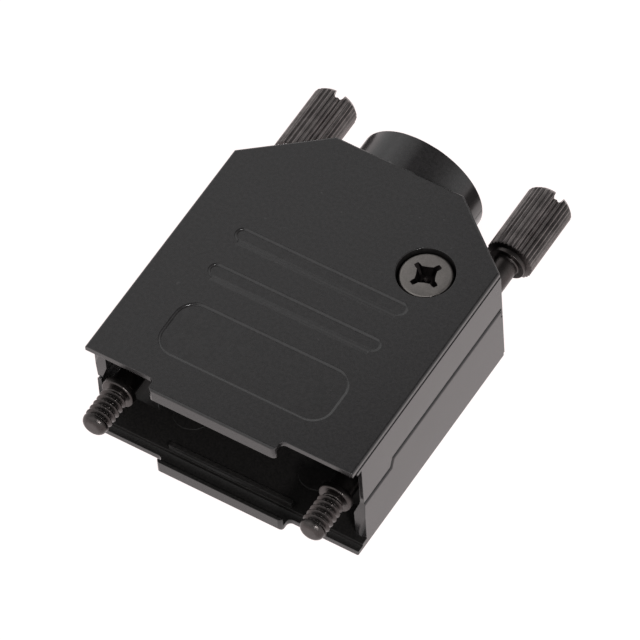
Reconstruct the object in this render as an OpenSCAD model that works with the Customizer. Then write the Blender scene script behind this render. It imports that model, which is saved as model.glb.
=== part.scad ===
// D-sub connector hood, straight outlet, 9-way size: two alike die-cast half shells, two long
// thumbscrews, two assembly screws and a two-saddle cable clamp inside.
// X runs across the hood, Y from the mouth to the cable outlet, Z up. The origin is the middle of
// the mouth, on the parting plane, halfway between the thumbscrews. Millimetres.

/* [Hood] */
// Width of the hood across its sides
hood_w = 30.8; // [30.6:0.1:38]
// Thickness of the closed hood over its two broad faces
hood_t = 14; // [13.9:0.1:17]
// Length of the straight sides, from the mouth
side_len = 27.6; // [27:0.1:33.5]
// Length of the broad faces, from the mouth to the back edge
hood_len = 34; // [33.8:0.1:41]
// Width of the back edge
back_w = 14.8; // [14:0.1:18]
// Thickness of the broad faces
face_wall = 1.2; // [1:0.05:1.5]
// Thickness of the side walls
side_wall = 1.3; // [1.15:0.05:1.4]
// Thickness of the back wall, which the cable passes
back_wall = 2.5; // [2:0.1:3]
// Radius of the edge round each broad face
edge_r = 0.25; // [0.15:0.05:0.4]
// Width and depth of the fine step below that edge, where the two halves of the die met
edge_step = [0.08, 0.75];

/* [Seam] */
// Height of the side seam over the parting plane
seam_rise = 1.1; // [0.8:0.05:1.4]
// Gap that the seam shows
seam_gap = 0.12; // [0.05:0.01:0.2]
// Thickness of the wall outside the lapping lip
lap_wall = 0.5; // [0.4:0.05:0.6]
// Height of the lapping lip
lip_h = 1; // [0.7:0.1:1.4]
// Play round the lapping lip
lip_play = 0.05; // [0.03:0.01:0.1]
// Set-back of the side walls from the mouth, for the ends of the connector's flange
wall_setback = 1.45; // [1.4:0.05:1.8]

/* [Mouth] */
// Height of the slot for the connector's flange
flange_h = 12.6; // [12.5:0.05:12.8]
// Width of that slot, along the hood
flange_slot = 1.6; // [1.4:0.05:1.7]
// Clear height between the two tongues
mouth_h = 10.6; // [10:0.1:11]
// Width of the tongues
tongue_w = 14.6; // [13:0.1:17]
// Reach of the tongues in front of the mouth
tongue_reach = 1.3; // [1.2:0.05:1.5]
// Thickness of the tongues' lips in front of that slot
tongue_lip = 0.4; // [0.3:0.05:0.5]
// Radius of the tongues' corners and of the hollows beside them, in plan
tongue_r = 0.5; // [0.3:0.05:0.8]
// Thickness of the ribs behind the flange, along the hood
flange_rib = 0.55; // [0.4:0.05:1]
// Clear height between those ribs
rib_gap = 10.2; // [9.8:0.1:10.8]
// Step between that slot and those ribs
rib_step = 0.15; // [0.1:0.05:0.3]
// Radius of the round ejector marks on the inner floor
mark_r = 2.1; // [1:0.1:2.4]
// Height of those marks
mark_h = 0.12; // [0.05:0.01:0.2]

/* [Relief] */
// Half width of the relief on the broad faces
relief_x = 9.8; // [8:0.1:11]
// Depth of the relief
relief_depth = 0.15; // [0.1:0.01:0.3]
// Near and far edge of the panel
panel_y = [3.2, 9.95];
// Corner radius of the panel
panel_r = 2.2; // [1:0.1:3]
// Middles of the two finger grooves
groove_y = [13.9, 18.85];
// Width of a finger groove
groove_w = 2; // [1.4:0.1:2.4]
// Width of the gentle slope on the near side of a groove
groove_slope = 0.55; // [0.3:0.05:0.7]

/* [Outlet] */
// Length of the outlet behind the back edge
outlet_len = 3.75; // [3:0.1:6]
// Bore of the outlet
outlet_bore = 11; // [10:0.1:11.4]

/* [Thumbscrews] */
// Distance between the two thumbscrews
jack_pitch = 25; // [24.6:0.1:25.4]
// Outer diameter of their thread
jack_thread_d = 2.84; // [2.6:0.01:3]
// Reach of the thread in front of the mouth
jack_reach = 4.05; // [3.5:0.05:6]
// Diameter of the plain shank
shank_d = 2.65; // [2.2:0.05:2.8]
// Diameter and length of the collar behind the flange
jack_collar = [3.6, 0.8];
// Diameter and length of the step in front of the head
jack_step = [4, 0.5];
// Gap between the hood and that step
step_gap = 1.55; // [0.8:0.05:3]
// Diameter over the knurl of the head
head_d = 5.1; // [4.6:0.1:6]
// Length of the head
head_len = 8.3; // [6:0.05:12]
// Number of knurl teeth
knurl_teeth = 32; // [20:1:36]
// Depth of the knurl
knurl_depth = 0.16; // [0.08:0.01:0.25]
// Width and depth of the blade slot
jack_slot = [1.05, 0.9];
// Angle of the blade slot of each thumbscrew, left and right, from the X axis
slot_angle = [75, 60];
// Running clearance of the shank in its bearings, on the radius
run_play = 0.05; // [0.03:0.01:0.1]
// Place and thickness of the front bearing ribs
bearing_rib = [4.4, 1.2];
// Wall of those ribs beside the shank, towards the middle
bearing_wall = 0.7; // [0.5:0.1:1]

/* [Assembly screws] */
// Distance of each assembly screw from the middle
boss_x = 9; // [8.6:0.05:9]
// Distance of the assembly screws from the mouth
boss_y = 24; // [20:0.1:24]
// Diameter of the screw thread
screw_d = 2.5; // [2:0.1:2.6]
// Diameter and height of the screw head
screw_head = [5.4, 1.95];
// Diameter and depth of the counterbore
counterbore = [6, 2.3];
// Outer diameter of the screw posts
post_d = 4; // [3.8:0.1:4]
// Angle of the cross recess, from the X axis
recess_angle = 61; // [0:1:90]

/* [Cable clamp] */
// Diameter of the cable that the clamp holds
cable_d = 8.4; // [6:0.1:9]
// Length of the saddles, along the cable
clamp_len = 3.9; // [3.5:0.1:4.2]
// Thickness of the ears
ear_t = 1.3; // [1:0.1:1.5]
// Gap between the ears of the two saddles
ear_gap = 1; // [0.4:0.1:1.6]
// Thread of the clamp screws
clamp_screw_d = 2; // [1.6:0.1:2.2]
// Diameter and height of their heads
clamp_head = [3.4, 1.25];
// Play of the clamp in its pocket
clamp_play = 0.3; // [0.2:0.05:0.4]
// Thickness of the rib in front of the clamp
clamp_rib = 1.2; // [1:0.1:1.5]

/* [Hidden] */
$fn = 48;

paint = [0.2, 0.195, 0.2];
dark_steel = [0.33, 0.31, 0.3];
zinc = [0.62, 0.63, 0.65];
// How far cuts pass the surface, how deep joined forms enter each other, and a screw's play
over = 1;
root = 0.2;
thread_play = 0.02;

half_w = hood_w / 2;
top = hood_t / 2;
floor_z = top - face_wall;
inner_x = half_w - side_wall;
jack_x = jack_pitch / 2;

// Direction across the slanted back walls, as seen in plan
slant = [hood_len - side_len, half_w - back_w / 2] / norm([hood_len - side_len, half_w - back_w / 2]);
slant_c = slant[0] * half_w + slant[1] * side_len;

// Where the flange slot starts and ends, and where the clamp lies, along Y
slot_front = tongue_lip - tongue_reach;
slot_back = slot_front + flange_slot;
clamp_r = floor_z - clamp_play;
ear_z = ear_gap / 2;
clamp_screw_x = sqrt(pow(clamp_r, 2) - pow(ear_z + ear_t, 2)) + clamp_head[0] / 2 + 0.1;
ear_limit = (slant_c - side_wall - clamp_len / 2 - clamp_play - slant[0] * clamp_screw_x) / slant[1];
clamp_y = min(hood_len - back_wall - clamp_play - clamp_len / 2, ear_limit);
cavity_end = clamp_y + clamp_len / 2 + clamp_play;

// Where the seam starts to climb, reaches its full height and drops again
seam_y = [6.5, 7, side_len - 0.3];
lip_front = seam_y[1] + 0.3;

// How far back the slanted wall reaches beside the step of a thumbscrew
step_y = (slant_c - slant[0] * (jack_x - jack_step[0] / 2)) / slant[1] + step_gap;
head_y = step_y + jack_step[1];

// The hood's outline in plan, moved inwards by d, from the front right corner round to the left
function plan(d) = let (
        x = half_w - d,
        y = hood_len - d,
        c = slant_c - d,
        ys = (c - slant[0] * x) / slant[1],
        xb = (c - slant[1] * y) / slant[0]
    ) [[x, 0], [x, ys], [xb, y], [-xb, y], [-x, ys], [-x, 0]];

// A star of shallow teeth between two radii, as seen along the head
function knurl(r, depth, n) =
    [for (i = [0 : 2 * n - 1]) let (a = 180 * i / n, q = i % 2 == 0 ? r : r - depth) q * [cos(a), sin(a)]];

// Cuts the square edge from a to b down to a quarter round, on the upper face
module round_edge(a, b) {
    d = b - a;
    translate([a[0], a[1], top])
        rotate([90, 0, atan2(d[1], d[0]) + 90])
            translate([0, 0, -2 * edge_r])
                linear_extrude(norm(d) + 4 * edge_r)
                    difference() {
                        translate([-over, -edge_r]) square([over + edge_r, edge_r + over]);
                        translate([edge_r, -edge_r]) circle(edge_r);
                    }
}

// A broad face, with the fine step below its edge
module face() {
    translate([0, 0, floor_z]) linear_extrude(face_wall - edge_step[1]) polygon(plan(0));
    translate([0, 0, floor_z]) linear_extrude(face_wall) polygon(plan(edge_step[0]));
}

// Everything above the seam on one side: side = 1 where the seam climbs, -1 where it dips
module above_seam(side) {
    y_far = hood_len + over;
    z = seam_gap / 2;
    translate([side > 0 ? 0 : -half_w - over, 0, 0])
        rotate([90, 0, 90])
            linear_extrude(half_w + over)
                polygon([
                    [side > 0 ? -over : wall_setback, side > 0 ? z : 2 * seam_rise],
                    [wall_setback + 0.15, z],
                    [seam_y[0], z],
                    [seam_y[1], z + side * seam_rise],
                    [seam_y[2], z + side * seam_rise],
                    [seam_y[2], z],
                    [y_far, z],
                    [y_far, top + over],
                    [-over, top + over],
                    [-over, 2 * seam_rise]
                ]);
}

// The walls round the sides and the back, down to the seam
module walls() {
    intersection() {
        difference() {
            translate([0, 0, -seam_rise]) linear_extrude(floor_z + seam_rise + root) polygon(plan(0));
            translate([0, 0, -seam_rise - over]) linear_extrude(hood_t) cavity_plan();
            translate([-half_w - over, -over, -seam_rise - over])
                cube([hood_w + 2 * over, over + wall_setback, hood_t]);
        }
        union() {
            above_seam(1);
            above_seam(-1);
        }
    }
}

// The room inside the walls, in plan
module cavity_plan() {
    intersection() {
        polygon(plan(side_wall));
        translate([-half_w, -over]) square([hood_w, cavity_end + over]);
    }
}

// The lip that laps the other shell's wall, with its run-out near the mouth
module lap_lip() {
    translate([-inner_x - side_wall + lap_wall + lip_play, lip_front, -seam_rise - lip_h])
        cube([side_wall - lap_wall - lip_play, seam_y[2] - lip_front - 0.3, lip_h + 0.5]);
}

// The room in the climbing side's wall for the other shell's lip
module lap_rebate() {
    x = inner_x - 0.01;
    w = half_w - lap_wall - x;
    translate([x, seam_y[1], seam_rise - over]) cube([w, seam_y[2] - seam_y[1], lip_h + lip_play + over]);
    translate([x, -over, -over]) cube([w, over + bearing_rib[0], floor_z + over]);
}

// The slanted run-out of the dipping side's wall, near the mouth
module lap_runout() {
    translate([0, lip_front, 0])
        rotate([90, 0, 0])
            linear_extrude(lip_front + over)
                polygon([
                    [-inner_x + 0.01, 2 * seam_rise],
                    [-inner_x - 0.5 * side_wall, 0.3 * seam_rise],
                    [-inner_x - 0.5 * side_wall, -seam_rise - over],
                    [-inner_x + 0.01, -seam_rise - over]
                ]);
}

// A tongue: it reaches out over the connector's flange and holds it by its front
module tongue() {
    bottom = mouth_h / 2;
    difference() {
        translate([0, 0, bottom]) linear_extrude(top - bottom) tongue_plan();
        round_edge([-tongue_w / 2, -tongue_reach], [tongue_w / 2, -tongue_reach]);
    }
    translate([-tongue_w / 2 + 0.2, slot_back + rib_step, rib_gap / 2])
        cube([tongue_w - 0.4, flange_rib, floor_z + root - rib_gap / 2]);
}

// A tongue in plan: round corners in front, and a hollow in each corner with the face's edge
module tongue_plan() {
    r = tongue_r;
    translate([-tongue_w / 2 + r, -tongue_reach]) square([tongue_w - 2 * r, tongue_reach + root]);
    translate([-tongue_w / 2, -tongue_reach + r]) square([tongue_w, tongue_reach - r + root]);
    for (s = [-1, 1]) {
        translate([s * (tongue_w / 2 - r), -tongue_reach + r]) circle(r);
        difference() {
            translate([s * (tongue_w + r) / 2, (root - r) / 2]) square([r, r + root], center = true);
            translate([s * (tongue_w / 2 + r), -r]) circle(r);
        }
    }
}

// The slot that the connector's flange slides into
module flange_slot_cut() {
    translate([-half_w - over, slot_front, -over])
        cube([hood_w + 2 * over, flange_slot, over + flange_h / 2]);
}

// A rib with half a bearing for a thumbscrew's shank, behind its collar
module bearing(side) {
    start = jack_x - shank_d / 2 - bearing_wall;
    width = inner_x - start;
    translate([side > 0 ? start : -inner_x, bearing_rib[0], 0])
        cube([width, bearing_rib[1], floor_z + root]);
    translate([side > 0 ? start : -inner_x - root, bearing_rib[0], seam_rise])
        cube([width + root, bearing_rib[1], floor_z + root - seam_rise]);
}

// The way of a thumbscrew's shank through ribs and walls
module shank_way(side) {
    translate([side * jack_x, bearing_rib[0] - over, 0])
        rotate([-90, 0, 0]) cylinder(d = shank_d + 2 * run_play, h = hood_len);
}

// The post under a screw's head, wide round the counterbore and slim down to the parting plane
module head_post() {
    wide = counterbore[0] + 1.4;
    shoulder = top - counterbore[1] - face_wall;
    translate([boss_x, boss_y, 0]) {
        cylinder(d = post_d, h = floor_z + root);
        translate([0, 0, shoulder]) cylinder(d = wide, h = floor_z + root - shoulder);
    }
}

// The post that the other screw is driven into
module thread_post() {
    translate([-boss_x, boss_y, 0]) cylinder(d = post_d, h = floor_z + root);
}

// The holes of both posts
module screw_holes() {
    translate([boss_x, boss_y, top - counterbore[1]]) cylinder(d = counterbore[0], h = hood_t);
    translate([boss_x, boss_y, -over]) cylinder(d = screw_d + 0.3, h = hood_t);
    translate([-boss_x, boss_y, -over]) cylinder(d = screw_d + 2 * thread_play, h = over + floor_z - 0.3);
}

// The rib that keeps the cable clamp from moving forwards
module clamp_stop() {
    x = boss_x - post_d / 2 + 0.3;
    difference() {
        translate([-x, clamp_y - clamp_len / 2 - clamp_play - clamp_rib, 0.3])
            cube([2 * x, clamp_rib, floor_z - 0.1]);
        rotate([-90, 0, 0]) cylinder(d = outlet_bore - 1, h = hood_len);
    }
}

// Half of the tube that the cable leaves by
module outlet() {
    intersection() {
        translate([0, cavity_end, 0])
            rotate([-90, 0, 0]) cylinder(r = top - 0.02, h = hood_len + outlet_len - cavity_end, $fn = 96);
        translate([-hood_w, 0, 0]) cube([2 * hood_w, 2 * hood_len, hood_t]);
    }
}

module cable_way() {
    translate([0, cavity_end - over, 0])
        rotate([-90, 0, 0])
            cylinder(d = outlet_bore, h = hood_len + outlet_len - cavity_end + 2 * over, $fn = 72);
}

// A recess with sloping walls: a rounded rectangle from corner a to corner b
module panel_recess(a, b, r) {
    d = relief_depth;
    translate([0, 0, top - d]) {
        for (x = [a[0] + r, b[0] - r], y = [a[1] + r, b[1] - r])
            translate([x, y, 0]) cylinder(r1 = r - d, r2 = r + over, h = d + over);
        translate([0, b[1] - r, 0])
            rotate([90, 0, 0]) linear_extrude(b[1] - a[1] - 2 * r) flare(a[0], b[0]);
        translate([a[0] + r, 0, 0])
            rotate([90, 0, 90]) linear_extrude(b[0] - a[0] - 2 * r) flare(a[1], b[1]);
    }
}

// The section of that recess, wider by its depth at the surface than at its floor
module flare(from, to) {
    d = relief_depth;
    polygon([[from + d, 0], [to - d, 0], [to + over, d + over], [from - over, d + over]]);
}

// A finger groove with round ends: steep on its far side, with a gentle slope on its near side
module finger_groove(y) {
    d = relief_depth;
    near = y - groove_w / 2;
    far = y + groove_w / 2;
    r = (groove_w - groove_slope + d) / 2;
    x = relief_x - r;
    for (s = [-1, 1])
        translate([s * x, far - r, top - d]) cylinder(r1 = r - d, r2 = r + over, h = d + over);
    translate([-x, 0, top])
        rotate([90, 0, 90])
            linear_extrude(2 * x)
                polygon([
                    [near, 0], [near + groove_slope, -d], [far - d, -d], [far + over, over], [near, over]
                ]);
}

module ejector_marks() {
    for (s = [-1, 1])
        translate([s * tongue_w / 2, 5.75, floor_z - mark_h]) cylinder(r = mark_r, h = mark_h + root);
}

// One die-cast half; the other is the same casting turned over about Y
module half_shell() {
    difference() {
        union() {
            difference() {
                face();
                for (i = [0 : 4])
                    round_edge(plan(edge_step[0])[i], plan(edge_step[0])[i + 1]);
            }
            difference() {
                walls();
                lap_rebate();
                lap_runout();
            }
            lap_lip();
            tongue();
            for (s = [-1, 1])
                bearing(s);
            head_post();
            thread_post();
            clamp_stop();
            ejector_marks();
            outlet();
        }
        flange_slot_cut();
        for (s = [-1, 1])
            shank_way(s);
        screw_holes();
        cable_way();
        panel_recess([-relief_x, panel_y[0]], [relief_x, panel_y[1]], panel_r);
        for (y = groove_y)
            finger_groove(y);
    }
}

module upper_shell() {
    color(paint) half_shell();
}

module lower_shell() {
    color(paint) rotate([0, 180, 0]) half_shell();
}

// A long captive screw: thread, collar, shank, step and knurled head, from front to back
module thumbscrew(side) {
    tip = 0.6;
    t = jack_thread_d / 2;
    c = jack_collar[0] / 2;
    back = slot_back - 0.15;
    color(dark_steel)
        translate([side * jack_x, 0, 0])
            rotate([-90, 0, 0])
                union() {
                    rotate_extrude()
                        polygon([
                            [0, -jack_reach], [t - tip, -jack_reach], [t, -jack_reach + tip], [t, back],
                            [c - 0.2, back], [c, back + 0.2], [c, back + jack_collar[1]],
                            [shank_d / 2, back + jack_collar[1]], [shank_d / 2, step_y],
                            [jack_step[0] / 2, step_y], [jack_step[0] / 2, head_y + 0.1], [0, head_y + 0.1]
                        ]);
                    difference() {
                        translate([0, 0, head_y])
                            intersection() {
                                linear_extrude(head_len)
                                    polygon(knurl(head_d / 2, knurl_depth, knurl_teeth));
                                rotate_extrude() head_profile();
                            }
                        translate([0, 0, head_y + head_len])
                            rotate([0, 0, side > 0 ? -slot_angle[1] : -slot_angle[0]])
                                cube([2 * head_d, jack_slot[0], 2 * jack_slot[1]], center = true);
                    }
                }
}

// Half the outline of a head with both ends bevelled
module head_profile() {
    r = head_d / 2;
    b = 0.45;
    polygon([[0, 0], [r - b, 0], [r, b], [r, head_len - b], [r - b, head_len], [0, head_len]]);
}

module thumbscrew_left() { thumbscrew(-1); }
module thumbscrew_right() { thumbscrew(1); }

// A pan-head screw with a cross recess, seated at z = 0 with its thread below
module pan_screw(d, head, length) {
    r = head[0] / 2;
    h = head[1];
    difference() {
        rotate_extrude()
            polygon([
                [0, -length], [d / 2 - 0.3, -length], [d / 2, -length + 0.4], [d / 2, 0], [r, 0],
                [r, 0.84 * h], [0.96 * r, 0.95 * h], [0.86 * r, h], [0, h]
            ]);
        for (a = [0, 90])
            translate([0, 0, h])
                rotate([0, 0, a]) cube([1.25 * r, 0.23 * r, 1.1 * h], center = true);
    }
}

// The two screws that close the hood, one from each side
module assembly_screw() {
    color(dark_steel)
        translate([boss_x, boss_y, top - counterbore[1]])
            rotate([0, 0, recess_angle])
                pan_screw(screw_d, screw_head, top - counterbore[1] + floor_z - 0.9);
}

module assembly_screw_top() { assembly_screw(); }
module assembly_screw_bottom() { rotate([0, 180, 0]) assembly_screw(); }

// A saddle of the cable clamp: half a ring with two round ears
module saddle(hole) {
    color(zinc)
        translate([0, clamp_y, 0])
            difference() {
                union() {
                    translate([0, clamp_len / 2, 0])
                        rotate([90, 0, 0]) cylinder(r = clamp_r, h = clamp_len, $fn = 72);
                    translate([-clamp_screw_x, -clamp_len / 2, ear_z])
                        cube([2 * clamp_screw_x, clamp_len, ear_t]);
                    for (s = [-1, 1])
                        translate([s * clamp_screw_x, 0, ear_z]) cylinder(d = clamp_len, h = ear_t);
                }
                rotate([90, 0, 0]) cylinder(d = cable_d, h = 2 * clamp_len, center = true, $fn = 72);
                translate([-hood_w, -clamp_len, -hood_t]) cube([2 * hood_w, 2 * clamp_len, hood_t + ear_z]);
                for (s = [-1, 1])
                    translate([s * clamp_screw_x, 0, 0]) cylinder(d = hole, h = hood_t);
            }
}

module cable_clamp_upper() { saddle(clamp_screw_d + 0.2); }
module cable_clamp_lower() { rotate([0, 180, 0]) saddle(clamp_screw_d + 2 * thread_play); }

module clamp_screw(side) {
    color(zinc)
        translate([side * clamp_screw_x, clamp_y, ear_z + ear_t])
            pan_screw(clamp_screw_d, clamp_head, 2 * ear_z + 2 * ear_t + 0.4);
}

module clamp_screw_left() { clamp_screw(-1); }
module clamp_screw_right() { clamp_screw(1); }

upper_shell();
lower_shell();
thumbscrew_left();
thumbscrew_right();
assembly_screw_top();
assembly_screw_bottom();
cable_clamp_upper();
cable_clamp_lower();
clamp_screw_left();
clamp_screw_right();
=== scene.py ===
# %% [markdown]
# # A D-sub connector hood
#
# The hood is a two-part shell that closes round the back of a small cable connector. Its two halves
# are the same zinc casting, painted semi-gloss black. Two long blackened thumbscrews run through it
# and hold the connector to its socket, and a screw from each side holds the halves together.
#
# The frame that is loaded here gives every piece at its real size and place, in metres. This
# notebook finishes the pieces: it rounds the edges of the castings, cuts the threads and the knurl,
# and gives each metal its surface. X runs across the hood, Y towards the cable outlet, Z up.

# %% Load the frame
import math

import bmesh
import bpy
import numpy as np
from mathutils import Matrix, Vector
from mathutils.bvhtree import BVHTree


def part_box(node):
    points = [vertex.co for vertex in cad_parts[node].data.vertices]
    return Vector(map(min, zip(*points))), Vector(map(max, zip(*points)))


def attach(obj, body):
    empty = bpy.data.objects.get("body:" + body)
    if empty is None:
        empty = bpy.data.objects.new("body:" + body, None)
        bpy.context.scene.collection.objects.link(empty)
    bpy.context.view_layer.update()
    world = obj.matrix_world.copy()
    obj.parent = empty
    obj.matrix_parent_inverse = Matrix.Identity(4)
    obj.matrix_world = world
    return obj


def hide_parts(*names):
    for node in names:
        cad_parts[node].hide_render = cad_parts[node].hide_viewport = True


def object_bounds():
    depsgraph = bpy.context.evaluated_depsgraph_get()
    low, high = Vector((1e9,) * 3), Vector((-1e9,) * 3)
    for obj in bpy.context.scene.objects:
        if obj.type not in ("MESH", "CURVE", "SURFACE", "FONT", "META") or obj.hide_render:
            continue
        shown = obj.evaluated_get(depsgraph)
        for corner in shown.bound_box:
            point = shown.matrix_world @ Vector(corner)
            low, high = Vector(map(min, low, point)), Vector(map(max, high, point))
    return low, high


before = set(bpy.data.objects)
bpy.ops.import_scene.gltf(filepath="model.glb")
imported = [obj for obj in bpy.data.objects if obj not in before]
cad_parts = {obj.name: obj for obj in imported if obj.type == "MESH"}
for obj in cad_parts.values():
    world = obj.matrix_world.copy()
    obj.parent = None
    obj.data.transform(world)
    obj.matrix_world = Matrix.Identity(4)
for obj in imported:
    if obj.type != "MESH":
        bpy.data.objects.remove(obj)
cad_low, cad_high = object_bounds()
MM = 0.001
scene = bpy.context.scene
print("hood, mm:", [round((b - a) / MM, 2) for a, b in zip(cad_low, cad_high)])

# %% [markdown]
# ## Where the camera stands
#
# A small part is best seen from far away through a long lens, so that near and far edges keep almost
# the same scale. Four values place the camera: how far round the hood it stands, how high above it,
# how far off, and how much it is rolled.

# %% The camera
VIEW_AZIMUTH = math.radians(35.45)
VIEW_ELEVATION = math.radians(54.12)
VIEW_ROLL = math.radians(-4.64)
VIEW_DISTANCE = 779.9 * MM
VIEW_TARGET = Vector((0.06, 18.14, 0.0)) * MM
LENS = 445.2


def camera_axes(azimuth, elevation, roll):
    """The camera's right, up and back directions as the columns of a matrix: back points from the
    hood to the camera, right lies level, up is square to both, and roll turns right and up."""
    back = Vector((
        math.sin(azimuth) * math.cos(elevation),
        -math.cos(azimuth) * math.cos(elevation),
        math.sin(elevation),
    ))
    right = Vector((math.cos(azimuth), math.sin(azimuth), 0))
    up = back.cross(right)
    c, s = math.cos(roll), math.sin(roll)
    return Matrix((right * c + up * s, up * c - right * s, back)).transposed()


camera = bpy.data.objects.new("camera", bpy.data.cameras.new("camera"))
scene.collection.objects.link(camera)
camera.data.lens = LENS
camera.data.clip_start = 10 * MM
axes = camera_axes(VIEW_AZIMUTH, VIEW_ELEVATION, VIEW_ROLL)
camera.matrix_world = Matrix.Translation(VIEW_TARGET + axes.col[2] * VIEW_DISTANCE) @ axes.to_4x4()
scene.camera = camera
print("camera, mm:", [round(c / MM) for c in camera.matrix_world.translation])

# %% [markdown]
# ## Shader maths as plain expressions
#
# A finish is a recipe: this noise, scaled so, pushes the roughness up by so much. Wiring such a
# recipe node by node hides it. The small class below wraps a socket, so that `1 - mask` or
# `0.3 + 0.1 * noise` adds the Math nodes by itself and the recipe reads as it is.

# %% A wrapped socket


class Wire:
    """A socket in a material's node tree that takes part in sums and products."""

    def __init__(self, tree, socket):
        self.tree, self.socket = tree, socket

    def node(self, kind, settings=None, output=0, **inputs):
        """Adds a node: its settings first, then a value or a Wire for each input. An input goes by
        its name, with _ for a space, or by its number after a _."""
        made = self.tree.nodes.new(kind)
        for key, value in (settings or {}).items():
            setattr(made, key, value)
        for key, value in inputs.items():
            slot = made.inputs[int(key[1:]) if key[0] == "_" else key.replace("_", " ")]
            if isinstance(value, Wire):
                self.tree.links.new(value.socket, slot)
            else:
                slot.default_value = value
        return Wire(self.tree, made.outputs[output])

    def maths(self, operation, *values):
        """A Math node with the values as its inputs, in their order."""
        inputs = {f"_{number}": value for number, value in enumerate(values)}
        return self.node("ShaderNodeMath", {"operation": operation}, **inputs)

    def __add__(self, other):
        return self.maths("ADD", self, other)

    def __sub__(self, other):
        return self.maths("SUBTRACT", self, other)

    def __rsub__(self, other):
        return self.maths("SUBTRACT", other, self)

    def __mul__(self, other):
        return self.maths("MULTIPLY", self, other)

    __radd__ = __add__
    __rmul__ = __mul__

    def along(self, axis):
        """One component of a position."""
        return self.node("ShaderNodeSeparateXYZ", None, "XYZ".index(axis), Vector=self)

    def between(self, low, high):
        """0 below low, 1 above high, and a straight ramp in between."""
        return self.node("ShaderNodeMapRange", _0=self, _1=low, _2=high, _3=0.0, _4=1.0)

    def tint(self, dark, light):
        """A colour that goes from dark to light as this value goes from 0 to 1."""
        ends = {"_6": (*dark, 1), "_7": (*light, 1)}
        return self.node("ShaderNodeMix", {"data_type": "RGBA"}, 2, _0=self, **ends)

    def noise(self, size, detail=2.0):
        """Noise on this position, with grains of the given size in metres."""
        return self.node("ShaderNodeTexNoise", Vector=self, Scale=1 / size, Detail=detail)

    def bump(self, strength, distance):
        """A normal that is tilted as if this value, times distance in metres, were a height."""
        return self.node("ShaderNodeBump", Strength=strength, Distance=distance, Height=self)


# %% [markdown]
# ## A material to start from
#
# Every finish here is one Principled shader. Numbers that are the same all over a piece are set on
# the shader itself, and only what changes over the surface is a wire. The wires start from the
# piece's own coordinates, so a pattern stays on the metal when the piece turns.

# %% A new material and its position


def new_material(name, **fixed):
    """A material with one Principled shader and its plain values. Also returns the shader and the
    wire of the position."""
    material = bpy.data.materials.new(name)
    material.use_nodes = True
    tree = material.node_tree
    tree.nodes.clear()
    shader = tree.nodes.new("ShaderNodeBsdfPrincipled")
    for key, value in fixed.items():
        shader.inputs[key.replace("_", " ")].default_value = value
    end = tree.nodes.new("ShaderNodeOutputMaterial")
    tree.links.new(shader.outputs[0], end.inputs["Surface"])
    here = Wire(tree, tree.nodes.new("ShaderNodeTexCoord").outputs["Object"])
    print("material", name, fixed)
    return material, shader, here


def connect(shader, **wires):
    """Links wires to the shader's named inputs."""
    for key, wire in wires.items():
        wire.tree.links.new(wire.socket, shader.inputs[key.replace("_", " ")])


# %% [markdown]
# ## Turned surfaces
#
# Every screw here is made on a lathe, so every screw is a surface of revolution. It is computed as
# one grid: each row is a station along the axis, each column a direction round it, and the table of
# radii says how far the metal reaches there. A plain shank has one radius per row. A thread or a
# knurl only makes the radius depend on the column as well, and the grid stays the same.

# %% A grid of radii becomes a closed mesh
AROUND = 320


def directions(count=AROUND):
    """The directions of a grid's columns, in radians."""
    return np.arange(count) * (2 * math.pi / count)


def turned_mesh(name, stations, radii):
    """A closed mesh about the Z axis. Vertex (i, j) is (r cos a, r sin a, z), where r is radii[i, j], z
    is stations[i] and a the direction of column j. Both ends close in a fan round a pole."""
    rows, columns = radii.shape
    angle = directions(columns)
    x, y = radii * np.cos(angle), radii * np.sin(angle)
    z = np.broadcast_to(stations[:, None], radii.shape)
    points = np.stack((x, y, z), axis=-1).reshape(-1, 3)
    poles = np.array([[0, 0, stations[0]], [0, 0, stations[-1]]])
    column = np.arange(columns)
    after = (column + 1) % columns
    start = (np.arange(rows - 1) * columns)[:, None]
    near, next_to = start + column, start + after
    quads = np.stack((near, next_to, next_to + columns, near + columns), axis=-1).reshape(-1, 4)
    first, last = rows * columns, rows * columns + 1
    top = (rows - 1) * columns
    fans = np.concatenate((
        np.stack((np.full(columns, first), after, column), axis=-1),
        np.stack((np.full(columns, last), top + column, top + after), axis=-1),
    ))
    mesh = bpy.data.meshes.new(name)
    mesh.from_pydata(np.concatenate((points, poles)).tolist(), [], quads.tolist() + fans.tolist())
    return mesh


print("columns round an axis:", len(directions()))

# %% [markdown]
# ## A lathe's profile
#
# A turning is described from one end to the other by its corners, and rounded shoulders are quarter
# ellipses between two of them. Several sections, plain or threaded, are laid end to end in one table.

# %% Profiles and sections


def profile(*corners):
    """Stations and radii for a plain turned profile, one (z, r) pair per corner."""
    table = np.array(corners, dtype=float)
    return table[:, 0], np.repeat(table[:, 1:], AROUND, axis=1)


def rounded(z0, r0, z1, r1, steps=5, hollow=False):
    """The (z, r) corners of a quarter ellipse from (z0, r0) to (z1, r1). It leaves along r and arrives
    along z, or the other way round if it is hollow."""
    turn = np.linspace(0, math.pi / 2, steps)
    along, out = (np.sin(turn), 1 - np.cos(turn)) if hollow else (1 - np.cos(turn), np.sin(turn))
    return list(zip(z0 + (z1 - z0) * along, r0 + (r1 - r0) * out))


def put_together(*sections):
    """One table of stations and radii from several."""
    stations = np.concatenate([z for z, r in sections])
    radii = np.concatenate([r for z, r in sections])
    return stations, radii


print("a rounded shoulder of 1 mm has", len(rounded(0, 0, 1, 1)), "corners")

# %% [markdown]
# ## A thread
#
# A thread is a ridge that climbs by one pitch each turn. Seen in a table of radii it is a wave that
# runs slantwise: the phase is the station in pitches less the direction in turns. The wave is a
# sixty-degree V with its crest and its root rounded off, and at both ends its height fades out.

# %% Radii of a thread
ROOT_SHARE, FLANK_SHARE = 0.12, 0.78


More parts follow.
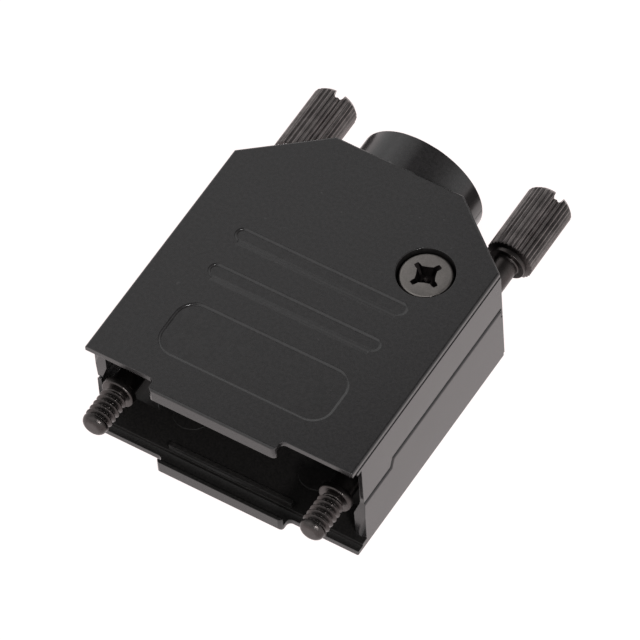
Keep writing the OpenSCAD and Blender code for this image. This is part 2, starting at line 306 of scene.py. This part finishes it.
def thread(z0, z1, pitch, crest, depth, fade=(0.5, 0.7), rows_per_turn=18):
    """Stations and radii of a right-hand thread from z0 to z1. The phase is z / pitch - a / (2 pi), the
    wave is a triangle of it pressed flat at both ends, and fade gives the run-out in pitches."""
    rows = int(rows_per_turn * (z1 - z0) / pitch)
    z = np.linspace(z0, z1, rows)
    phase = (z[:, None] / pitch - directions() / (2 * math.pi)) % 1
    wave = np.clip((np.abs(2 * phase - 1) - ROOT_SHARE) / FLANK_SHARE, 0, 1)
    grow = np.clip((z - z0) / (fade[0] * pitch), 0, 1) * np.clip((z1 - z) / (fade[1] * pitch), 0, 1)
    return z, crest - depth * (1 - wave * grow[:, None])


print("rows of a thread four turns long:", len(thread(0, 4, 1, 1, 0.2)[0]))

# %% [markdown]
# ## Cutting with another solid
#
# The blade slot and the cross recess are milled or punched after turning, so they are cut here by a
# Boolean with a solid of the tool's shape. The result is applied at once, which leaves a plain mesh
# with its place in its points, and the tool is deleted.

# %% Cutter and cut


def prism(name, lower, upper, z0, z1):
    """A closed mesh between an outline at z0 and one with as many points at z1, both given as (x, y)
    arrays that run anticlockwise."""
    count = len(lower)
    points = [(x, y, z0) for x, y in lower] + [(x, y, z1) for x, y in upper]
    sides = [(i, (i + 1) % count, count + (i + 1) % count, count + i) for i in range(count)]
    ends = [tuple(reversed(range(count))), tuple(range(count, 2 * count))]
    mesh = bpy.data.meshes.new(name)
    mesh.from_pydata(points, [], sides + ends)
    return mesh


def evaluated_mesh(piece):
    """A new plain mesh of what an object's modifiers make."""
    return bpy.data.meshes.new_from_object(piece.evaluated_get(bpy.context.evaluated_depsgraph_get()))


def cut(mesh, *tools):
    """The mesh with each tool's volume taken away. The cut faces get material 1, the others keep 0."""
    work = bpy.data.objects.new("work", mesh)
    scene.collection.objects.link(work)
    for tool in tools:
        tool.polygons.foreach_set("material_index", np.ones(len(tool.polygons), dtype=np.int32))
        cutter = bpy.data.objects.new("cutter", tool)
        scene.collection.objects.link(cutter)
        step = work.modifiers.new("cut", "BOOLEAN")
        step.operation = "DIFFERENCE"
        step.solver = "EXACT"
        step.material_mode = "INDEX"
        step.object = cutter
        result = evaluated_mesh(work)
        work.modifiers.clear()
        work.data = result
        bpy.data.objects.remove(cutter)
        bpy.data.meshes.remove(tool)
    bpy.data.objects.remove(work)
    return result


# %% [markdown]
# ## A finished piece
#
# The frame has to know two things of every finished piece: the body that it moves with, and the
# plain piece that it stands for.

# %% Hand a piece to the frame
CREASE = math.radians(32)


def hand_over(piece, body, replaced):
    """Tells the frame a piece's body, and hides the plain piece that it stands for."""
    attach(piece, body)
    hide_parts(replaced)
    print(piece.name, len(piece.data.polygons), "faces")


def new_object(name, mesh, materials):
    """An object at the origin with a mesh and its materials."""
    piece = bpy.data.objects.new(name, mesh)
    scene.collection.objects.link(piece)
    for material in materials:
        mesh.materials.append(material)
    return piece


def turned_piece(name, mesh, materials, body, replaced):
    """An object for a turned mesh: shaded smooth, but sharp where it turns by more than CREASE."""
    mesh.polygons.foreach_set("use_smooth", np.ones(len(mesh.polygons), dtype=bool))
    mesh.set_sharp_from_angle(angle=CREASE)
    hand_over(new_object(name, mesh, materials), body, replaced)


# %% [markdown]
# ## The black paint
#
# The castings are sprayed with a thin semi-gloss black. Seen close, it has three scales: a fine
# orange peel that breaks up reflections, a slow drift in gloss where the coat is thicker, and a few
# specks of dust under it. The peel goes to the bump and the roughness, the drift to the roughness,
# and the specks, with a faint mottle, to the colour. Inside the hood the same black is painted
# darker and duller, as painted shade.

# %% Paint


def make_paint():
    """Black paint: peel of a fifth of a millimetre, gloss drifting over several, sparse specks."""
    material, shader, here = new_material("black_paint", IOR=1.5)
    peel = here.noise(0.22 * MM, 3.0)
    mottle = here.noise(0.35 * MM, 3.0).between(0.35, 0.65)
    drift = here.noise(4 * MM)
    speck = here.noise(0.45 * MM, 0.0).between(0.875, 0.895)
    connect(
        shader,
        Base_Color=(0.35 * mottle + speck).tint((0.0125, 0.0115, 0.0118), (0.032, 0.0297, 0.0304)),
        Roughness=0.14 + 0.08 * drift + 0.08 * peel,
        Normal=peel.bump(0.2, 0.01 * MM),
    )
    return material


def make_inner_shade_black():
    """Painted shade inside the shells: a darker black, rough, grainy and almost without shine."""
    material, shader, here = new_material("inner_shade_black", Specular_IOR_Level=0.3)
    grain = here.noise(0.18 * MM, 4.0)
    connect(
        shader,
        Base_Color=grain.between(0.35, 0.7).tint((0.004, 0.0037, 0.0035), (0.012, 0.0105, 0.010)),
        Roughness=0.42 + 0.25 * grain,
        Normal=grain.bump(0.5, 0.03 * MM),
    )
    return material


paint = make_paint()
# The inside of the shells is painted darker than the paint, as painted shade.
inner_shade_black = make_inner_shade_black()

# %% [markdown]
# ## Blackened steel, zinc and plate
#
# The screws are turned steel with a brown-black oxide. It is still a metal, so it reflects in its
# own colour, only darkly, and it is patchy where fingers and tools have polished it. On a thumbscrew
# that is the head, and the bar in front of it is painted darker, partly as painted shade under the
# head and the hood. The clamp inside is bare cast zinc, dull and grainy, and its screws are plated
# bright.

# %% Metals
HEAD_LENGTH = 8.3  # of a thumbscrew, in millimetres
HEAD_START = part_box("thumbscrew_right")[1][1] - HEAD_LENGTH * MM


def make_metal(name, dark, light, rough, grain, bump, head_wear_and_bar_shade=None):
    """A metal whose colour and roughness vary over patches, with a fine grain in the bump. The pair of
    Y places darkens the bar, partly as painted shade: in front of the first a quarter of the wear
    shows, behind the second all."""
    material, shader, here = new_material(name, Metallic=1.0)
    patch = here.noise(1.3 * MM, 4.0)
    fine = here.noise(grain, 3.0)
    wear_and_shade = 0.6 * patch.between(0.15, 0.85) + 0.4 * fine.between(0.3, 0.7)
    if head_wear_and_bar_shade:
        wear_and_shade = wear_and_shade * (0.25 + 0.75 * here.along("Y").between(*head_wear_and_bar_shade))
    connect(
        shader,
        Base_Color=wear_and_shade.tint(dark, light),
        Roughness=rough + 0.20 * (patch - 0.5) + 0.15 * (fine - 0.5),
        Normal=fine.bump(bump, 0.02 * MM),
    )
    return material


black_steel = make_metal(
    "black_steel", dark=(0.034, 0.030, 0.029), light=(0.29, 0.262, 0.256),
    rough=0.34, grain=0.10 * MM, bump=0.5,
    # In front of the head the bar is painted darker, partly as painted shade.
    head_wear_and_bar_shade=(HEAD_START + 0.12 * MM, HEAD_START + 0.3 * MM),
)
worn_steel = make_metal(
    "worn_steel", dark=(0.17, 0.158, 0.150), light=(0.31, 0.288, 0.272),
    rough=0.42, grain=0.12 * MM, bump=0.35,
)
# The cross recess is painted almost black: painted shade inside the hollow.
recess_shade_black = make_metal(
    "recess_shade_black", dark=(0.006, 0.005, 0.005), light=(0.03, 0.026, 0.025),
    rough=0.5, grain=0.12 * MM, bump=0.35,
)
bare_zinc = make_metal(
    "bare_zinc", dark=(0.42, 0.43, 0.45), light=(0.55, 0.56, 0.58),
    rough=0.50, grain=0.20 * MM, bump=0.35,
)
plated_steel = make_metal(
    "plated_steel", dark=(0.55, 0.55, 0.55), light=(0.72, 0.72, 0.72),
    rough=0.25, grain=0.15 * MM, bump=0.15,
)

# %% [markdown]
# ## Castings with rounded edges
#
# A casting has no knife edge: the die and the paint round every corner a little, and that thin
# round is what shows as a bright line along the edge. The frame's meshes are loose triangles with
# sharp corners, so a copy is merged, its flat faces are joined back into one each, and a bevel of a
# few hundredths of a millimetre runs along every outward edge. Inward corners stay sharp, because
# there the paint leaves a dark line.

# %% Join a casting's triangles
SAME_POINT, SAME_FLAT = 0.001 * MM, math.radians(0.5)


def merged(node):
    """A bmesh of a frame node: doubles merged, and flat areas joined back into one face each."""
    shape = bmesh.new()
    shape.from_mesh(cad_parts[node].data)
    bmesh.ops.remove_doubles(shape, verts=shape.verts, dist=SAME_POINT)
    bmesh.ops.dissolve_limit(shape, angle_limit=SAME_FLAT, verts=shape.verts, edges=shape.edges)
    print(node, "joined into", len(shape.faces), "faces")
    return shape


# %% [markdown]
# ## Inside or outside
#
# The inside of the shells gets a darker, duller black as painted shade, and the outside and the rim
# of the mouth keep the gloss. A face is inside if a ray that leaves it at a right angle meets a shell
# again. Between the two covers, such a ray may slip out through the mouth, so there the place decides.

# %% Which faces get the painted shade
WALL, COVER_EDGE = 1.3 * MM, 6.4 * MM
MOUTH_RIM, COVERED_END = 0.3 * MM, 20 * MM
OFF_FACE, SIGHT = 0.01 * MM, 40 * MM


def tree_of(node):
    """A search tree of a frame node's triangles, for casting rays at it."""
    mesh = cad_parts[node].data
    triangles = [tuple(face.vertices) for face in mesh.polygons]
    return BVHTree.FromPolygons([vertex.co for vertex in mesh.vertices], triangles)


shell_trees = [tree_of(node) for node in ("upper_shell", "lower_shell")]
print("search trees:", len(shell_trees))


def is_in_painted_shade(face, high):
    """Whether a face of a shell is inside. Up to COVERED_END it is if it lies between the walls and
    the covers, and isn't the front of their rim. Behind, it is if its outward ray meets a shell."""
    where = face.calc_center_median()
    if where.y < COVERED_END:
        within = abs(where.x) < high.x - WALL and abs(where.z) < COVER_EDGE
        return within and (where.y > MOUTH_RIM or face.normal.y > -0.5)
    start = where + face.normal * OFF_FACE
    return any(tree.ray_cast(start, face.normal, SIGHT)[0] for tree in shell_trees)


# %% [markdown]
# ## How round each edge is
#
# The die's outer corners are the sharpest. Along the seam the paint runs back from the gap and
# leaves the widest round. The panel and the finger grooves are shallow and fill with paint, so they
# are rounded at the foot as well as at the rim, and softest where their slope is gentle.

# %% The round of an edge
CORNER, GENTLE = math.radians(12), math.radians(20)
ROUND = 0.06 * MM
SEAM_ROUND, SEAM_HEIGHT, SEAM_SHORTEST = 0.36 * MM, 1.3 * MM, 1.15 * MM
RELIEF_ROUND, GENTLE_ROUND = 0.10 * MM, 0.20 * MM
RELIEF_REACH, RELIEF_DEPTH, RELIEF_START = 10 * MM, 0.25 * MM, 2 * MM
NEAR_SIDE, BELOW_FACE, LEVEL = 0.3 * MM, 0.01 * MM, 0.99


def relief_round(edge, angle, high):
    """How far an edge of the relief is rounded, or 0 if it isn't one. Edges of the relief are near the
    middle, at or just under the broad face, and not between two level faces."""
    ends = [vertex.co for vertex in edge.verts]
    near = all(abs(end.x) < RELIEF_REACH and high.z - abs(end.z) < RELIEF_DEPTH for end in ends)
    below = all(high.z - abs(end.z) > BELOW_FACE for end in ends)
    slanted = any(abs(face.normal.z) < LEVEL for face in edge.link_faces)
    if near and slanted and (below or angle > 0) and abs(angle) > CORNER and ends[0].y > RELIEF_START:
        return GENTLE_ROUND if abs(angle) < GENTLE else RELIEF_ROUND
    return 0


def edge_round(edge, high):
    """How far an edge is rounded: as the relief, or not at all if it turns inwards or lies within a
    curve, or most along the seam's long outer lips, or else by the common radius."""
    angle = edge.calc_face_angle_signed()
    relief = relief_round(edge, angle, high)
    if relief or angle < CORNER:
        return relief
    ends = [vertex.co for vertex in edge.verts]
    on_side = all(abs(abs(end.x) - high.x) < NEAR_SIDE for end in ends)
    at_seam = all(abs(end.z) < SEAM_HEIGHT for end in ends)
    return SEAM_ROUND if on_side and at_seam and edge.calc_length() > SEAM_SHORTEST else ROUND


print("rounds, mm:", [round(r / MM, 2) for r in (ROUND, SEAM_ROUND, RELIEF_ROUND, GENTLE_ROUND)])

# %% [markdown]
# ## Level faces and a round outlet
#
# Two things are put right after the bevel. Where several of its edges meet, a corner may stand a few
# hundredths proud of the broad face, and it is brought back to it. The outlet is a polygon of flats,
# and they mirror light as flats do, so it gets the normals of the true cylinder.

# %% Repair the broad faces and the outlet
OUTLET_R, OUTLET_Y = 6.98 * MM, 31 * MM
OUTLET_PLAY, OUTWARDS = 0.03 * MM, 0.98


def table_of(items, key, width=1, kind=np.float32):
    """One property of all items of a mesh as an array, with a row of the given width for each."""
    values = np.empty(width * len(items), dtype=kind)
    items.foreach_get(key, values)
    return values.reshape(-1, width) if width > 1 else values


def level_proud_corners(mesh):
    """Brings points that the bevel left above the top face or under the lower one back to it."""
    points = table_of(mesh.vertices, "co", 3)
    points[:, 2] = np.clip(points[:, 2], cad_low.z, cad_high.z)
    mesh.vertices.foreach_set("co", points.ravel())


def shade_outlet(mesh):
    """Gives the round outlet its true normals, (x, 0, z) / r, where r is the distance from the Y axis,
    so that its flats shade as one cylinder."""
    place = table_of(mesh.vertices, "co", 3)[table_of(mesh.loops, "vertex_index", kind=np.int32)]
    normals = table_of(mesh.corner_normals, "vector", 3)
    corners = table_of(mesh.polygons, "loop_total", kind=np.int32)
    face = np.repeat(table_of(mesh.polygons, "normal", 3), corners, axis=0)
    radius = np.hypot(place[:, 0], place[:, 2])
    radial = np.stack((place[:, 0], np.zeros_like(radius), place[:, 2]), axis=1) / radius[:, None]
    at_radius = (np.abs(radius - OUTLET_R) < OUTLET_PLAY) & (place[:, 1] > OUTLET_Y)
    on_outlet = at_radius & ((face * radial).sum(1) > OUTWARDS)
    normals[on_outlet] = radial[on_outlet]
    mesh.normals_split_custom_set(normals.tolist())
    print(int(on_outlet.sum()), "corners on the outlet")


# %% [markdown]
# ## The castings' copies
#
# The round of each edge goes to the bevel as a weight, a share of the widest one. Weighted normals
# then keep the big faces flat, and only the narrow rounds shade from one to the next.

# %% Copy, round and paint the castings


def marked_mesh(node, name, shade_inside):
    """The joined mesh of a frame node, with a bevel weight on each edge and, if shade_inside is true,
    the second material, the painted shade, on each face inside."""
    high = Vector(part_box(node)[1])
    high.z = cad_high.z
    shape = merged(node)
    weight = shape.edges.layers.float.new("bevel_weight_edge")
    for edge in shape.edges:
        edge[weight] = edge_round(edge, high) / SEAM_ROUND
        edge.smooth = abs(edge.calc_face_angle_signed()) < CORNER or edge[weight] > 0
    for face in shape.faces:
        face.smooth = True
        face.material_index = int(shade_inside and is_in_painted_shade(face, high))
    mesh = bpy.data.meshes.new(name)
    shape.to_mesh(mesh)
    shape.free()
    return mesh


def cast_copy(node, materials):
    """A copy of a frame node with its edges rounded, standing for that node. With a second material,
    its inside gets that one as painted shade."""
    piece = new_object(node + "_cast", marked_mesh(node, node + "_cast", len(materials) > 1), materials)
    bevel = piece.modifiers.new("rounded_edges", "BEVEL")
    bevel.width = SEAM_ROUND
    bevel.segments = 3
    bevel.limit_method = "WEIGHT"
    bevel.use_clamp_overlap = False
    bevel.loop_slide = False
    even = piece.modifiers.new("flat_faces_stay_flat", "WEIGHTED_NORMAL")
    even.keep_sharp = True
    finished = evaluated_mesh(piece)
    piece.modifiers.clear()
    piece.data = finished
    level_proud_corners(finished)
    shade_outlet(finished)
    hand_over(piece, "hood", node)


for node in ("upper_shell", "lower_shell"):
    cast_copy(node, (paint, inner_shade_black))
for node in ("cable_clamp_upper", "cable_clamp_lower"):
    cast_copy(node, (bare_zinc,))

# %% [markdown]
# ## The thumbscrews
#
# A thumbscrew is one turned bar that runs through the hood and stands out at both ends: a domed tip,
# a thread, a collar that the connector's flange bears on, a thin shank, a step, and a head to turn by
# finger. Its sizes are kept in millimetres along the bar, and the outer ones are read from the frame.

# %% Sizes of a thumbscrew, in millimetres
box_low, box_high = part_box("thumbscrew_right")
TIP, END = box_low[1] / MM, box_high[1] / MM
HEAD_R = (box_high[0] - box_low[0]) / MM / 2
JACK_X = (box_high[0] + box_low[0]) / MM / 2
HEAD_Y = END - HEAD_LENGTH
COLLAR_START, COLLAR_END, COLLAR_R, COLLAR_ROUND = 0.55, 1.35, 1.8, 0.18
SHANK_R, STEP_R, STEP_LENGTH = 1.325, 2.0, 0.5
THREAD_R, THREAD_DEPTH, PITCH = 1.42, 0.36, 0.635
TIP_RING, TIP_FLAT, DOME_LENGTH = 0.35, 0.72, 0.72
print("thumbscrew from", round(TIP, 2), "to", round(END, 2), "head radius", round(HEAD_R, 2))

# %% [markdown]
# ## The knurled head
#
# The knurl is straight, thirty-two ridges pressed in by a wheel, no two quite alike. Both ends of
# the head are bevelled after that, which leaves the ridges as teeth.

# %% Radii of the head
TEETH, KNURL_DEPTH = 32, 0.2
TOOTH_SHIFT, TOOTH_WEAR, TOOTH_STEEPNESS = 0.12, 0.35, 1.2
BEVEL, BACK_BEVEL = 0.45, 0.16


def knurl_radii(seed):
    """The radius of the head in each direction: a ridge per tooth with a rounded crest, each a little
    shallower and wider or narrower than its neighbours."""
    draw = np.random.default_rng(seed)
    shift = TOOTH_SHIFT * (draw.random(TEETH) - 0.5)
    height = 1 - TOOTH_WEAR * draw.random(TEETH) ** 2
    phase = directions() * TEETH / (2 * math.pi)
    tooth = np.floor(phase).astype(int) % TEETH
    wave = 1 - np.abs(2 * ((phase + shift[tooth]) % 1) - 1)
    return HEAD_R - KNURL_DEPTH * (1 - np.clip(TOOTH_STEEPNESS * wave, 0, 1) * height[tooth])


def head_rows(seed):
    """Stations and radii of the head: the knurl, held inside a cone at each end."""
    z = np.concatenate((
        np.linspace(HEAD_Y, HEAD_Y + BACK_BEVEL, 7),
        np.linspace(HEAD_Y + BEVEL, END - BEVEL - 0.3, 8),
        np.linspace(END - BEVEL, END, 7),
    ))
    cone = HEAD_R - BEVEL + np.minimum((z - HEAD_Y) * BEVEL / BACK_BEVEL, END - z)
    return z, np.minimum(knurl_radii(seed), np.maximum(cone, 0)[:, None])


print("rows of a head:", len(head_rows(0)[0]))

# %% [markdown]
# ## From the tip to the head
#
# The bar is listed as it would be turned. Where two diameters meet there is a small break or fillet,
# because a tool's nose leaves one and because it catches the light.

# %% The whole bar


def thumbscrew_mesh(name, seed):
    """The whole bar from tip to head, in millimetres along Z."""
    root, back = THREAD_R - THREAD_DEPTH, HEAD_Y - STEP_LENGTH
    front_round = rounded(
        COLLAR_START, COLLAR_R - COLLAR_ROUND, COLLAR_START + COLLAR_ROUND, COLLAR_R)
    rear_round = rounded(
        COLLAR_END - COLLAR_ROUND, COLLAR_R, COLLAR_END, COLLAR_R - COLLAR_ROUND, hollow=True)
    return turned_mesh(name, *put_together(
        profile((TIP, TIP_RING), *rounded(TIP, TIP_FLAT, TIP + DOME_LENGTH, THREAD_R - 0.06, 8)),
        thread(TIP + 0.76, COLLAR_START - 0.08, PITCH, THREAD_R, THREAD_DEPTH, (0.15, 0.8)),
        profile(
            (COLLAR_START - 0.03, root), (COLLAR_START, root + 0.06), (COLLAR_START, COLLAR_R - 0.22),
            *front_round, *rear_round,
            (COLLAR_END, SHANK_R + 0.04), (COLLAR_END + 0.04, SHANK_R),
            (back - 0.12, SHANK_R), (back, SHANK_R + 0.1), (back, STEP_R - 0.08),
            *rounded(back, STEP_R - 0.05, back + 0.05, STEP_R),
            (HEAD_Y - 0.02, STEP_R),
        ),
        head_rows(seed),
    ))


def stand_along_y(mesh, x):
    """Turns a mesh made in millimetres along Z to lie along Y at x, in metres."""
    mesh.transform(Matrix(((MM, 0, 0, x * MM), (0, 0, MM, 0), (0, -MM, 0, 0), (0, 0, 0, 1))))
    return mesh


# %% [markdown]
# ## The blade slot
#
# The slot across the head is milled with a round-edged cutter, so its lower corners are rounded. Each
# screw stands at its own angle, as it was last turned.

# %% Mill the slots and make both thumbscrews
SLOT_WIDTH, SLOT_DEPTH, SLOT_ROUND = 1.05, 0.9, 0.36


def slot_tool(angle):
    """The end mill's path for the blade slot: a trough with rounded lower corners across the axis. Its
    long direction stands at the angle, in degrees, from the hood's X axis towards Z."""
    half, bottom = SLOT_WIDTH / 2, END - SLOT_DEPTH
    turn = np.linspace(0, math.pi / 2, 7)
    across = half - SLOT_ROUND + SLOT_ROUND * np.sin(turn)
    right = np.stack((across, bottom + SLOT_ROUND - SLOT_ROUND * np.cos(turn)), axis=1)
    outline = np.concatenate((right, [[half, END + 1], [-half, END + 1]], (right * (-1, 1))[::-1]))
    mesh = prism("slot_tool", outline, outline, -2 * HEAD_R, 2 * HEAD_R)
    c, s = math.cos(math.radians(angle)), math.sin(math.radians(angle))
    mesh.transform(Matrix(((s, 0, c, 0), (c, 0, -s, 0), (0, 1, 0, 0), (0, 0, 0, 1))))
    return mesh


for side, name, slot_angle, seed in ((-1, "thumbscrew_left", 75, 3), (1, "thumbscrew_right", 60, 8)):
    bar = cut(thumbscrew_mesh(name + "_bar", seed), slot_tool(slot_angle))
    finishes = (black_steel, black_steel)
    turned_piece(name + "_turned", stand_along_y(bar, side * JACK_X), finishes, name, name)

# %% [markdown]
# ## The cross recess
#
# The recess of a screw is punched: four tapered wings round a deeper cone, with hollow flanks
# between the wings. The outline is a function of direction, wide where a wing points and drawn in
# between, and the punch is that outline at the top joined to a smaller one below.

# %% The punch


def cross_outline(reach, half_width, core, count=96):
    """The (x, y) outline of a cross recess. In direction a from the nearest wing, the radius is the
    smaller of reach / cos a and half_width / sin a, and at least the core's."""
    a = directions(count)
    off = np.abs((a + math.pi / 4) % (math.pi / 2) - math.pi / 4)
    wing = np.minimum(reach / np.cos(off), half_width / np.maximum(np.sin(off), 1e-6))
    hollow = core * (1 + 0.45 * (1 - off / (math.pi / 4)) ** 2)
    radius = np.maximum(wing, hollow)
    return np.stack((radius * np.cos(a), radius * np.sin(a)), axis=1)


def recess_tool(top, size):
    """The punch: wings that narrow downwards, and a cone that goes on below them. Its sizes are for a
    recess of size 1, in millimetres."""
    wide = cross_outline(1.75 * size, 0.3 * size, 0.98 * size)
    narrow = cross_outline(0.95 * size, 0.18 * size, 0.6 * size)
    wings = prism("wings", narrow, wide + (wide - narrow) * 0.4, top - 1.05 * size, top + 0.42 * size)
    ring = np.stack((np.cos(directions(32)), np.sin(directions(32))), axis=1)
    cone = prism("cone", ring * 0.12 * size, ring * 0.62 * size, top - 1.45 * size, top - 0.85 * size)
    return wings, cone


print("corners of the punch:", len(cross_outline(1.75, 0.3, 0.98)))

# %% [markdown]
# ## Screws with a cross recess
#
# The two screws that close the hood have flat heads with a softly rounded rim, and so do the small
# ones of the clamp. One function makes both kinds along Z with the seat at height 0.

# %% A screw with its recess


def cross_screw(name, thread_r, pitch, length, head_r, head_h, size):
    """A screw along Z with its seat at z = 0, its thread below and its recess above, in millimetres."""
    rim = 0.22 * size
    depth = 0.55 * pitch
    body = turned_mesh(name, *put_together(
        profile((-length, 0.3 * thread_r), (-length, thread_r - depth)),
        thread(-length + 0.02, -0.12, pitch, thread_r, depth, (0.8, 0.8), 12),
        profile(
            (-0.06, thread_r - depth), (0, thread_r - 0.05), (0, head_r - 0.1),
            *rounded(0, head_r - 0.08, 0.08, head_r, 4),
            *rounded(head_h - rim, head_r, head_h, head_r - 1.4 * rim, 7, hollow=True),
            (head_h, 0.5 * head_r),
        ),
    ))
    return cut(body, *recess_tool(head_h, size))


def stand_on_seat(mesh, x, y, z, turn, flip=False):
    """Moves a mesh made in millimetres to its seat, turned about Z, and turned over about Y if it is
    the one from below."""
    move = Matrix.Translation((x, y, z)) @ Matrix.Rotation(turn, 4, "Z") @ Matrix.Scale(MM, 4)
    mesh.transform(Matrix.Rotation(math.pi, 4, "Y") @ move if flip else move)
    return mesh


# %% [markdown]
# ## The two screws that close the hood
#
# Each of these sits at the bottom of a counterbore in a broad face. Because the halves are the same
# casting, the lower screw is the upper one turned over with it. Their heads are worn steel, and the
# recess is painted almost black, as painted shade in the hollow.

# %% The two assembly screws
low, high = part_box("assembly_screw_top")
SEAT_Z = 4.7 * MM
RECESS_ANGLE = math.radians(65)

for name, flip in (("assembly_screw_top", False), ("assembly_screw_bottom", True)):
    solid = cross_screw(
        name + "_solid", thread_r=1.25, pitch=0.45, length=(SEAT_Z - low[2]) / MM,
        head_r=2.7, head_h=1.95, size=1.0,
    )
    stand_on_seat(solid, (low[0] + high[0]) / 2, (low[1] + high[1]) / 2, SEAT_Z, RECESS_ANGLE, flip)
    # The recess faces get the near-black painted shade.
    turned_piece(name + "_turned", solid, (worn_steel, recess_shade_black), "hood", name)

# %% [markdown]
# ## The clamp's screws
#
# Inside, two small screws press the saddles of the clamp together round the cable. They are the same
# kind at a smaller size, and each stopped at an angle of its own when it was tightened.

# %% The clamp's screws
CLAMP_HEAD = 1.25

for name, turn in (("clamp_screw_left", 0.4), ("clamp_screw_right", 1.1)):
    low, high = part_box(name)
    seat = high[2] - CLAMP_HEAD * MM
    solid = cross_screw(
        name + "_solid", thread_r=1.0, pitch=0.4, length=(seat - low[2]) / MM,
        head_r=1.7, head_h=CLAMP_HEAD, size=0.6,
    )
    stand_on_seat(solid, (low[0] + high[0]) / 2, (low[1] + high[1]) / 2, seat, turn)
    turned_piece(name + "_turned", solid, (plated_steel, plated_steel), "hood", name)

# %% [markdown]
# ## The studio's floor
#
# The hood lies on a white floor under soft light. Black gloss shows its surroundings more than its
# own colour, so the white floor that the sides mirror matters as much as the lamps. The floor
# answers camera and glossy rays with its own white, and takes the rest from the light that falls on
# it, which leaves the hood's shadow. That white is a touch warm and stronger than full, so the floor
# still looks pure white, and its warmth shows only in the sides.

# %% The floor
FLOOR_GLOW, FLOOR_REACH, FLOOR_GAP = 0.88, 3.0, 0.01 * MM


def seen_rays(here):
    """1 for camera, mirror and glass rays, 0 for the rays that carry light."""
    path = here.tree.nodes.new("ShaderNodeLightPath")
    kinds = ("Is Camera Ray", "Is Glossy Ray", "Is Transmission Ray")
    return sum(Wire(here.tree, path.outputs[kind]) for kind in kinds).between(0, 1)


def make_floor_material():
    """White that is part glow, for camera, mirror and glass rays only, and part lit surface."""
    material, shader, here = new_material("floor_white", Roughness=0.9, Base_Color=(0.8, 0.8, 0.8, 1))
    tree = material.node_tree
    glow = here.node("ShaderNodeEmission", Color=(1, 0.92, 0.915, 1), Strength=1.2)
    share = seen_rays(here) * FLOOR_GLOW
    mix = here.node("ShaderNodeMixShader", _0=share, _1=Wire(tree, shader.outputs[0]), _2=glow)
    tree.links.new(mix.socket, tree.nodes["Material Output"].inputs["Surface"])
    return material


corners = [(x * FLOOR_REACH, y * FLOOR_REACH, cad_low.z - FLOOR_GAP)
           for x, y in ((-1, -1), (1, -1), (1, 1), (-1, 1))]
floor_mesh = bpy.data.meshes.new("floor")
floor_mesh.from_pydata(corners, [], [(0, 1, 2, 3)])
floor = new_object("floor", floor_mesh, (make_floor_material(),))
print("floor at", round(corners[0][2] / MM, 2), "mm")

# %% [markdown]
# ## The lamps
#
# A wide lamp in front on the left does most of the work. A small one on the right puts glints on
# edges that turn towards it, and a weak one close behind brightens the far end of the top face,
# which mirrors it.

# %% Three softboxes


def softbox(name, where, width, power):
    """A square lamp at a place in metres, turned to the hood."""
    lamp = bpy.data.objects.new(name, bpy.data.lights.new(name, "AREA"))
    lamp.data.size = width
    lamp.data.energy = power
    lamp.location = where
    lamp.rotation_mode = "QUATERNION"
    lamp.rotation_quaternion = (Vector(where) - VIEW_TARGET).to_track_quat("Z", "Y")
    scene.collection.objects.link(lamp)
    print(name, power, "W")


softbox("front_left", (-0.35, -0.45, 0.9), 1.0, 2.9)
softbox("front_right", (0.45, -0.33, 0.5), 0.08, 2.6)
softbox("back_left", (-0.105, 0.105, 0.13), 0.12, 0.026)

# %% [markdown]
# ## The room
#
# The room round the hood is white at the walls and dim at the ceiling. Glossy black needs that fall:
# the top face looks dark because it mirrors the ceiling, and the sides look lighter because they
# mirror the walls and the floor.

# %% The room
WALLS, CEILING = 0.95, 0.14
WALLS_TOP, CEILING_START = 0.3, 0.8


def make_world():
    """White walls and a dimmer ceiling: the brightness falls as the height of a unit direction
    climbs from WALLS_TOP to CEILING_START."""
    world = bpy.data.worlds.new("studio")
    world.use_nodes = True
    tree = world.node_tree
    facing = Wire(tree, tree.nodes.new("ShaderNodeTexCoord").outputs["Generated"])
    climb = facing.along("Z").between(WALLS_TOP, CEILING_START)
    background = tree.nodes["Background"]
    background.inputs["Color"].default_value = (1, 1, 1, 1)
    tree.links.new((WALLS + (CEILING - WALLS) * climb).socket, background.inputs["Strength"])
    return world


scene.world = make_world()
scene.view_settings.view_transform = "Standard"
print("walls", WALLS, "ceiling", CEILING)
